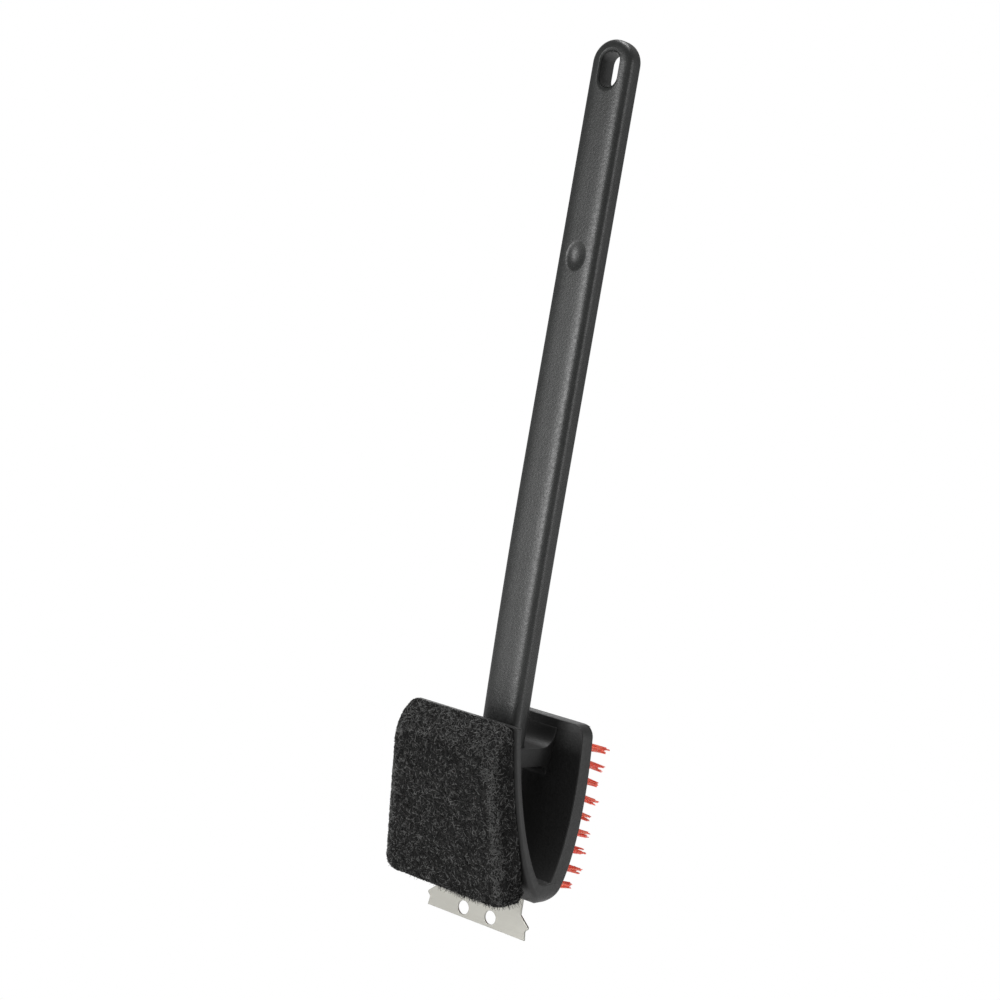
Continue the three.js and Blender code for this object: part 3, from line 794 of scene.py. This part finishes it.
TUFT = dict(
    rows=9, columns=8, first_z=-341.4, pitch=8.54, inset=4.5, droop=12.5,
    strands=4, filaments=11, root_radius=1.9, root_depth=1.5,
)
FILAMENT = dict(rings=5, sides=5, radius=0.48)
# Worn bristles: each row stands out a little differently.
ROW_LENGTHS = (19.9, 19.4, 16.2, 16.0, 15.6, 17.2, 16.8, 19.2, 18.6)


def lay_filament(root, out, length, inner, outer, across, rise, points):
    """Rings of one filament, which leans from `inner` at its root to `outer` at its tip."""
    depth = TUFT["root_depth"]
    for k in range(FILAMENT["rings"]):
        t = k / (FILAMENT["rings"] - 1)
        centre = root + out * (-depth + (length + depth) * t) + inner * (1 - t) + outer * t
        size = FILAMENT["radius"] * (1 - 0.55 * t ** 2)
        add_ring(points, centre, size, across, rise, FILAMENT["sides"])


def make_row(row):
    """One row of tufts, each of coarse filaments drawn together into a few pointed strands."""
    z = TUFT["first_z"] - row * TUFT["pitch"]
    y = y_on(OUTER_BRISTLE, z)
    reach = half_width(z) - TUFT["inset"]
    side = np.array((1.0, 0.0, 0.0))
    points, faces, tones = [], [], []
    for column in range(TUFT["columns"]):
        root = np.array((-reach + 2 * reach * column / (TUFT["columns"] - 1), y, z))
        droop = math.radians(TUFT["droop"] + rng.normal(0, 1.2))
        out = np.array((rng.normal(0, 0.03), math.cos(droop), -math.sin(droop)))
        rise = np.cross(side, out)
        for strand in range(TUFT["strands"]):
            turn = 2 * math.pi * (strand + rng.uniform(0, 0.5)) / TUFT["strands"]
            aim = rng.uniform(0.7, 1.7) * (math.cos(turn) * side + math.sin(turn) * rise)
            length = ROW_LENGTHS[row] * rng.uniform(0.86, 1.0)
            for _ in range(TUFT["filaments"]):
                a = turn + rng.uniform(-1.1, 1.1)
                r = TUFT["root_radius"] * math.sqrt(rng.uniform(0, 1))
                inner = r * (math.cos(a) * side + math.sin(a) * rise)
                outer = aim + rng.normal(0, 0.28) * side + rng.normal(0, 0.28) * rise
                reach_out = length * rng.uniform(0.68, 1.0)
                tone = int(rng.uniform() < 0.5)
                base = len(points)
                lay_filament(root, out, reach_out, inner, outer, side, rise, points)
                filament = tube_faces(base, FILAMENT["rings"], FILAMENT["sides"])
                faces += filament
                tones += [tone] * len(filament)
    obj = new_object(f"bristle_tufts_{row + 1}", points, faces)
    finish_piece(obj, [f"bristle_row_{row + 1}"], BRISTLE, 50)
    obj.data.polygons.foreach_set("material_index", tones)
    return obj


for row in range(TUFT["rows"]):
    make_row(row)

# ---- Small CAD pieces that stay ----

for node, material in (
    ("handle_screw_left", SCREW_STEEL), ("handle_screw_right", SCREW_STEEL),
    ("scraper_pin_left", SCREW_STEEL), ("scraper_pin_right", SCREW_STEEL),
    ("pad_backing", PAD_CORE),
):
    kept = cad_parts[node]
    kept.data.materials.clear()
    kept.data.materials.append(material)

# ---- Floor and light ----

STUDIO_FLOOR, FLOOR_REACH = -0.62, 9
WHITE = (1, 1, 1, 1)


def split_for_camera(tree, usual, seen, output):
    """Shows `seen` to the camera and leaves `usual` to every other ray."""
    path = tree.nodes.new("ShaderNodeLightPath")
    mix = tree.nodes.new("ShaderNodeMixShader")
    tree.links.new(path.outputs["Is Camera Ray"], mix.inputs["Fac"])
    tree.links.new(usual, mix.inputs[1])
    tree.links.new(seen, mix.inputs[2])
    tree.links.new(mix.outputs["Shader"], output.inputs["Surface"])


corners = [(x * FLOOR_REACH, y * FLOOR_REACH, STUDIO_FLOOR) for x, y in ((-1, -1), (1, -1), (1, 1), (-1, 1))]
floor = new_object("floor", corners, [(0, 1, 2, 3)])
floor_look = Nodes("floor")
floor_tone = floor_look.colours(
    floor_look.noise(0.5, 1, 0.5), [(0.3, (0.86, 0.86, 0.86)), (0.7, (0.87, 0.87, 0.87))])
floor_look.link(floor_tone, floor_look.shader.inputs["Base Color"])
floor_look.shader.inputs["Roughness"].default_value = 0.9
floor_look.shader.inputs["Emission Color"].default_value = WHITE
floor_look.shader.inputs["Emission Strength"].default_value = 0.16
floor_white = floor_look.add("ShaderNodeEmission")
floor_white.inputs["Color"].default_value = WHITE
split_for_camera(
    floor_look.tree, floor_look.shader.outputs["BSDF"], floor_white.outputs["Emission"],
    floor_look.tree.nodes["Material Output"])
floor.data.materials.append(floor_look.material)

# A white studio: the backdrop is white to the camera, and dimmer as a source of light.
world = bpy.data.worlds.new("studio")
scene.world = world
world.use_nodes = True
world_tree = world.node_tree
background = world_tree.nodes["Background"]
background.inputs["Color"].default_value = WHITE
background.inputs["Strength"].default_value = 0.31
backdrop = world_tree.nodes.new("ShaderNodeBackground")
backdrop.inputs["Color"].default_value = WHITE
backdrop.inputs["Strength"].default_value = 1.0
split_for_camera(
    world_tree, background.outputs["Background"], backdrop.outputs["Background"],
    world_tree.nodes["World Output"])


def area_light(name, place, target, width, height, power):
    data = bpy.data.lights.new(name, "AREA")
    data.shape = "RECTANGLE"
    data.size = width
    data.size_y = height
    data.energy = power
    light = bpy.data.objects.new(name, data)
    light.location = place
    light.rotation_euler = (Vector(target) - Vector(place)).to_track_quat("-Z", "Y").to_euler()
    light.visible_camera = False
    scene.collection.objects.link(light)


# Each light's name, place, target, width, height and power. The key stands before the pad's side and to the
# left, the others light the side, the top and the rim from the right, from above and from behind.
LIGHTS = (
    ("key", (-0.47, -1.85, -0.18), (0, 0, -0.2), 0.6, 0.85, 25.5),
    ("side", (2.0, 1.0, 0.0), (0, 0, -0.2), 0.8, 1.6, 13),
    ("top", (-0.2, 0.35, 1.6), (0, 0, -0.35), 0.9, 0.9, 24),
    ("rim", (-1.1, 1.5, 0.2), (0, 0, -0.33), 0.7, 0.5, 2.6),
)
for light in LIGHTS:
    area_light(*light)

scene.view_settings.view_transform = "Standard"
